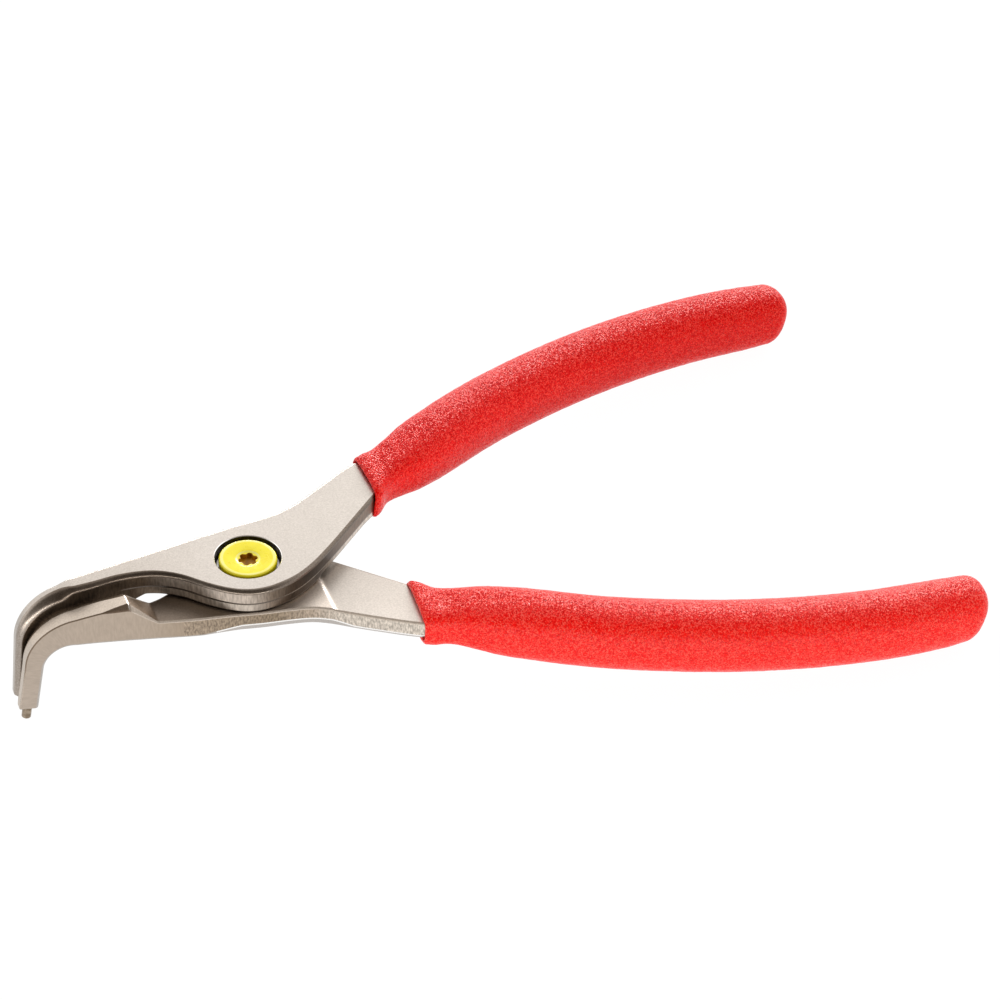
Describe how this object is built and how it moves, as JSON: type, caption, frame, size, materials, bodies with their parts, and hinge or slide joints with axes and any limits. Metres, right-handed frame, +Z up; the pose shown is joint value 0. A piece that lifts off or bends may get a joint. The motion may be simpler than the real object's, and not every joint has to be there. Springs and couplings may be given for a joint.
{
  "type": "circlip pliers",
  "caption": "Circlip pliers for external rings, with tips bent square to the lapped levers, a screw pivot with a hidden return spring, and dipped grips.",
  "frame": {"origin": "on the bench, under the middle of the pliers as they stand on a tip pin and both grip ends", "axes": "+X from the jaws to the grip ends, +Y to the far lever, the one that carries the screw head, +Z up"},
  "size_m": [0.1777, 0.1064, 0.0254],
  "materials": {
    "lever_steel": "satin plated, fine blasted grain, milled side walls",
    "grip_vinyl": "matt dipped vinyl with a fine pebbled skin",
    "pin_steel": "hardened wire, brownish",
    "screw_coat": "glossy yellow coat",
    "zinc_steel": "bright zinc plated",
    "spring_steel": "oiled spring wire"
  },
  "bodies": {
    "near_half": {"near_lever": "lever_steel", "near_grip": "grip_vinyl", "near_tip_pin": "pin_steel", "pivot_screw": "screw_coat", "head_washer": "zinc_steel", "pivot_nut": "zinc_steel", "return_spring": "spring_steel"},
    "far_half": {"far_lever": "lever_steel", "far_grip": "grip_vinyl", "far_tip_pin": "pin_steel"}
  },
  "joints": [
    {"name": "squeeze", "type": "hinge", "parent": "near_half", "child": "far_half", "pos_m": [-0.04194, 0.00026, 0.01694], "axis": [-0.0919, -0.0498, -0.9945], "range_deg": [0, 30], "stiffness_Nm_per_rad": 0.6, "springref_deg": -28.65, "deforming": ["return_spring"]}
  ]
}
